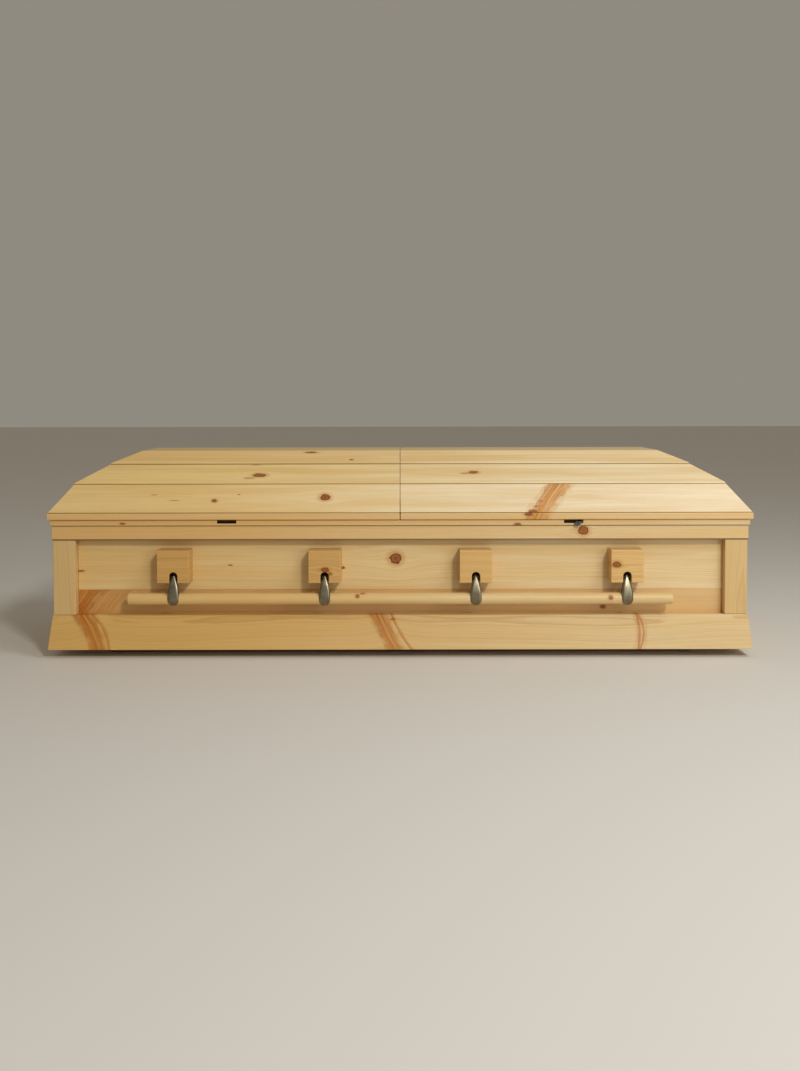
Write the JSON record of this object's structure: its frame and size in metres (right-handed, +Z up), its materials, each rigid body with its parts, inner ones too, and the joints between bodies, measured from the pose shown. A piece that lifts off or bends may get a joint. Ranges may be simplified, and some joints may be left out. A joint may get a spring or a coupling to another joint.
{
  "type": "coffin",
  "caption": "Knotty-pine coffin with a hipped lid in two lift-off halves, flared base, corner posts and swinging wooden carrying bars.",
  "frame": {"origin": "on the ground, under the middle of the coffin", "axes": "+X along the coffin, to the right as seen from the front; the front faces -Y; +Z up"},
  "size_m": [2.1376, 0.758, 0.6198],
  "materials": {
    "pine": "knotty pine under a clear satin lacquer",
    "nickel": "antique nickel, brushed and darkened"
  },
  "bodies": {
    "coffin": {"runner_front": "pine", "runner_back": "pine", "floor_board": "pine", "base_board_front": "pine", "base_board_right": "pine", "base_board_back": "pine", "base_board_left": "pine", "corner_post_front_left": "pine", "corner_post_back_left": "pine", "corner_post_front_right": "pine", "corner_post_back_right": "pine", "side_panel_front_lower": "pine", "side_panel_front_upper": "pine", "side_panel_back_lower": "pine", "side_panel_back_upper": "pine", "end_panel_left": "pine", "end_panel_right": "pine", "top_rail_frame": "pine", "cap_frame": "pine", "catch_button": "nickel", "lid_left_rim": "pine", "lid_left_low_plank_front": "pine", "lid_left_low_plank_back": "pine", "lid_left_low_plank_end": "pine", "lid_left_middle_plank_front": "pine", "lid_left_middle_plank_back": "pine", "lid_left_middle_plank_end": "pine", "lid_left_upper_plank_front": "pine", "lid_left_upper_plank_back": "pine", "lid_left_upper_plank_end": "pine", "lid_left_top_board": "pine", "lid_right_rim": "pine", "lid_right_low_plank_front": "pine", "lid_right_low_plank_back": "pine", "lid_right_low_plank_end": "pine", "lid_right_middle_plank_front": "pine", "lid_right_middle_plank_back": "pine", "lid_right_middle_plank_end": "pine", "lid_right_upper_plank_front": "pine", "lid_right_upper_plank_back": "pine", "lid_right_upper_plank_end": "pine", "lid_right_top_board": "pine", "handle_block_front_1": "pine", "handle_block_front_2": "pine", "handle_block_front_3": "pine", "handle_block_front_4": "pine", "handle_block_back_1": "pine", "handle_block_back_2": "pine", "handle_block_back_3": "pine", "handle_block_back_4": "pine"},
    "front_handle": {"carrying_bar_front": "pine", "handle_arm_front_1": "nickel", "handle_arm_front_2": "nickel", "handle_arm_front_3": "nickel", "handle_arm_front_4": "nickel"},
    "back_handle": {"carrying_bar_back": "pine", "handle_arm_back_1": "nickel", "handle_arm_back_2": "nickel", "handle_arm_back_3": "nickel", "handle_arm_back_4": "nickel"}
  },
  "joints": [
    {"name": "front_bar_swing", "type": "hinge", "parent": "coffin", "child": "front_handle", "pos_m": [0, -0.3575, 0.248], "axis": [-1, 0, 0], "range_deg": [0, 90]},
    {"name": "back_bar_swing", "type": "hinge", "parent": "coffin", "child": "back_handle", "pos_m": [0, 0.3575, 0.248], "axis": [1, 0, 0], "range_deg": [0, 90]}
  ]
}
